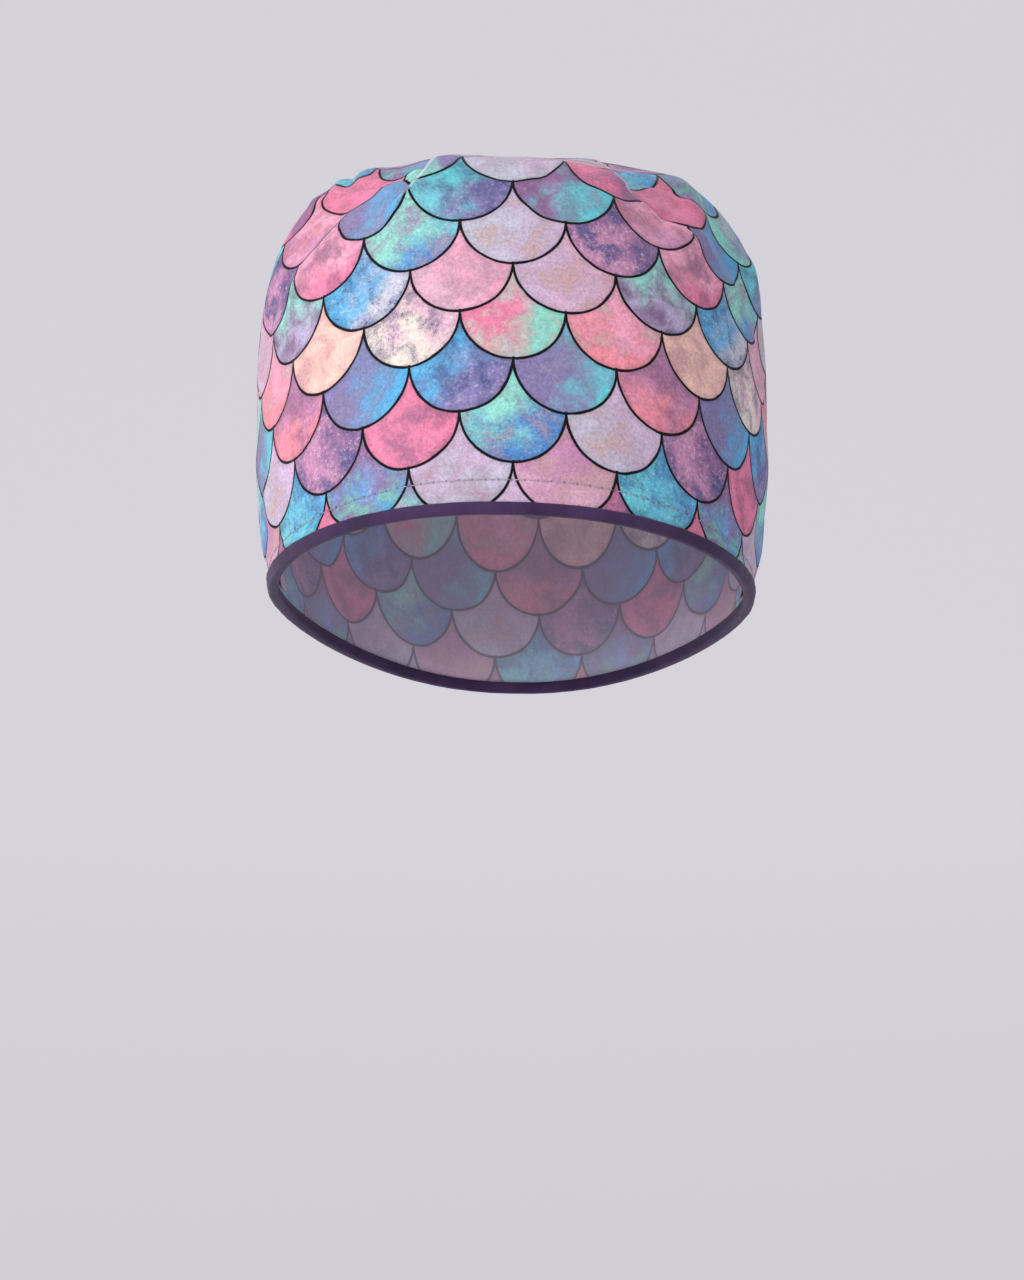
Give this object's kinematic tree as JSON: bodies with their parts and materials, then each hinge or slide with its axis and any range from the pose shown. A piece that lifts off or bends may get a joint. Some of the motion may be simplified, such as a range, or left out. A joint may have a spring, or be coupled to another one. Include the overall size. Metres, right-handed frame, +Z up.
{
  "type": "scrub cap",
  "caption": "Soft tall cap for medical staff: a front and a back cotton panel joined over the crown, with a bound slanted rim, open below for the head.",
  "frame": {"origin": "middle of the slanted head opening, where a head holds the cap", "axes": "+Z up, forehead faces -Y, nape faces +Y, +X to the viewer's right seen from the front"},
  "size_m": [0.168, 0.2033, 0.1932],
  "materials": {
    "printed_cotton": "matte plain-woven cotton with a watercolour fish-scale print",
    "binding_tape": "matte dark purple bias tape"
  },
  "bodies": {
    "root": {"front_panel": "printed_cotton", "back_panel": "printed_cotton", "edge_binding": "binding_tape"}
  },
  "joints": []
}
